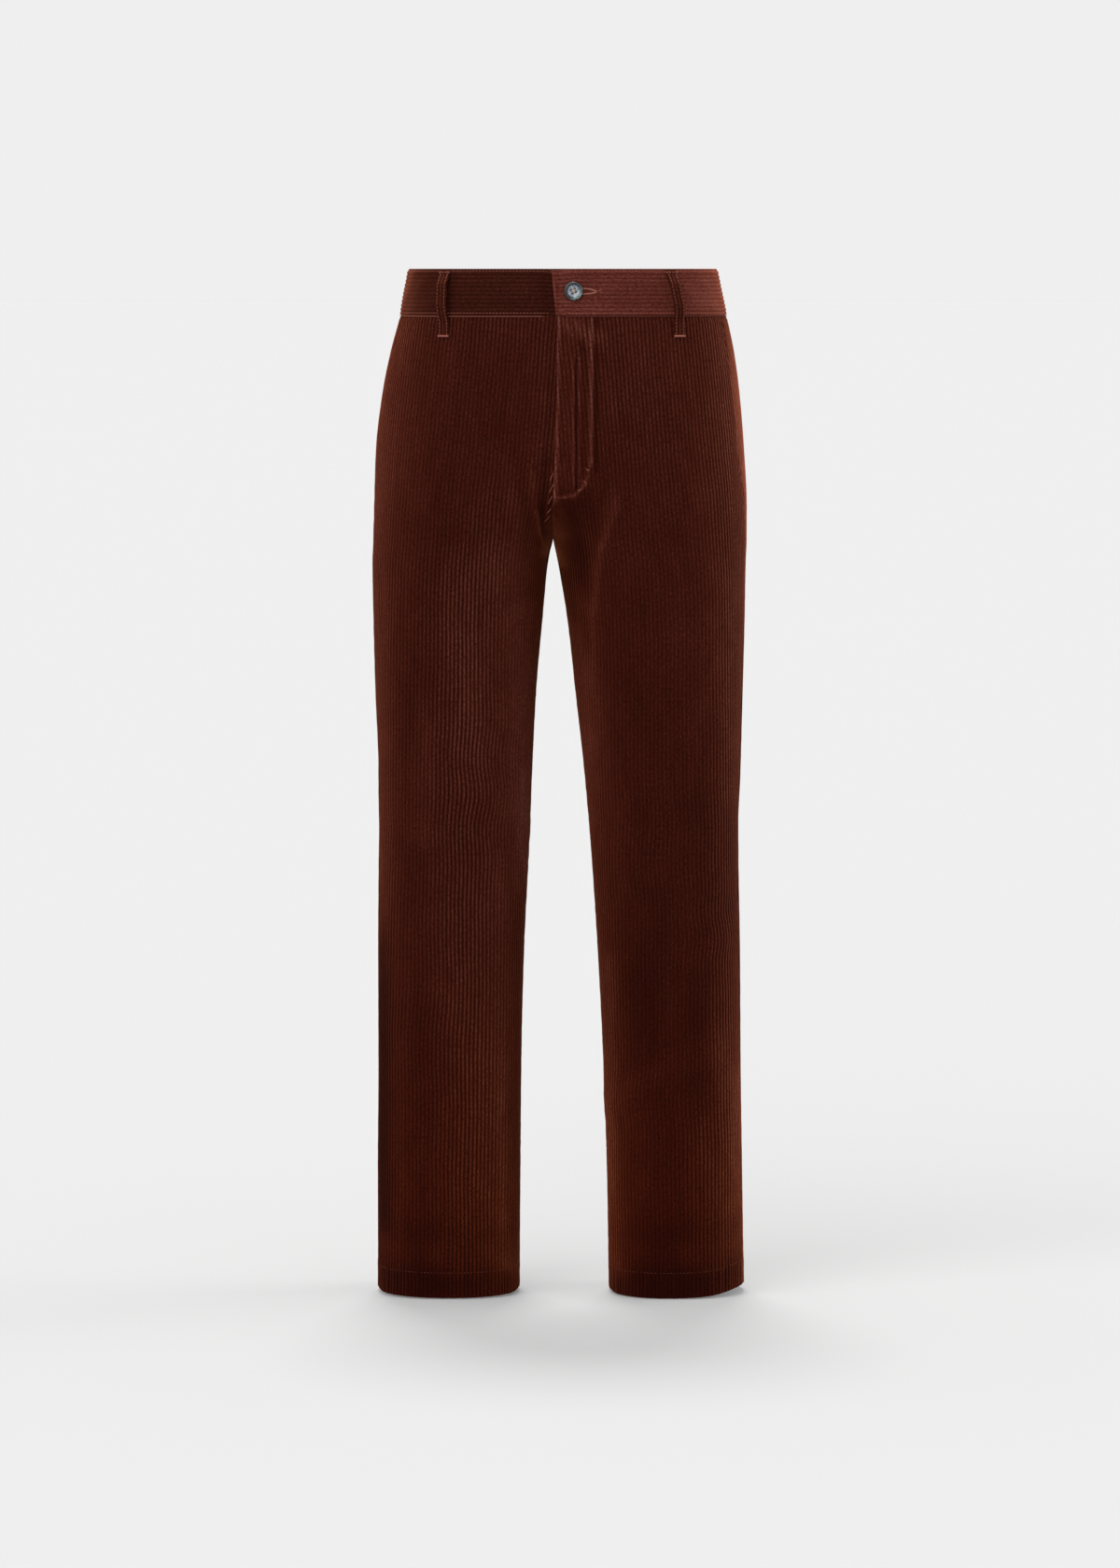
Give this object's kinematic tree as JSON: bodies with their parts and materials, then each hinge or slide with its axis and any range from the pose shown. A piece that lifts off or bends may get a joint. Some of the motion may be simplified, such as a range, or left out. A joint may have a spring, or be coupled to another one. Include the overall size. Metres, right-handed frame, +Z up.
{
  "type": "corduroy trousers",
  "caption": "Straight-leg wide-wale corduroy trousers, filled out as worn and hollow, with a button-fastened waistband, a fly front and belt loops.",
  "frame": {"origin": "middle of the waist's opening at the waistband's top edge", "axes": "+Z up along the legs from the hems to the waist, the front faces -Y, the wearer's left is +X"},
  "size_m": [0.3801, 0.2411, 1.04],
  "materials": {
    "corduroy": "wide-wale cotton corduroy, red-brown, soft raised nap with sheen at grazing angles",
    "horn": "polished dark blue-grey horn-like button with pale streaks",
    "thread": "matt pinkish-brown sewing thread"
  },
  "bodies": {
    "root": {"front_left": "corduroy", "front_right": "corduroy", "back_left": "corduroy", "back_right": "corduroy", "waistband_left": "corduroy", "waistband_right": "corduroy", "loop_front_left": "corduroy", "loop_front_right": "corduroy", "loop_back_left": "corduroy", "loop_back_right": "corduroy", "loop_back_centre": "corduroy", "button": "horn"}
  },
  "joints": []
}
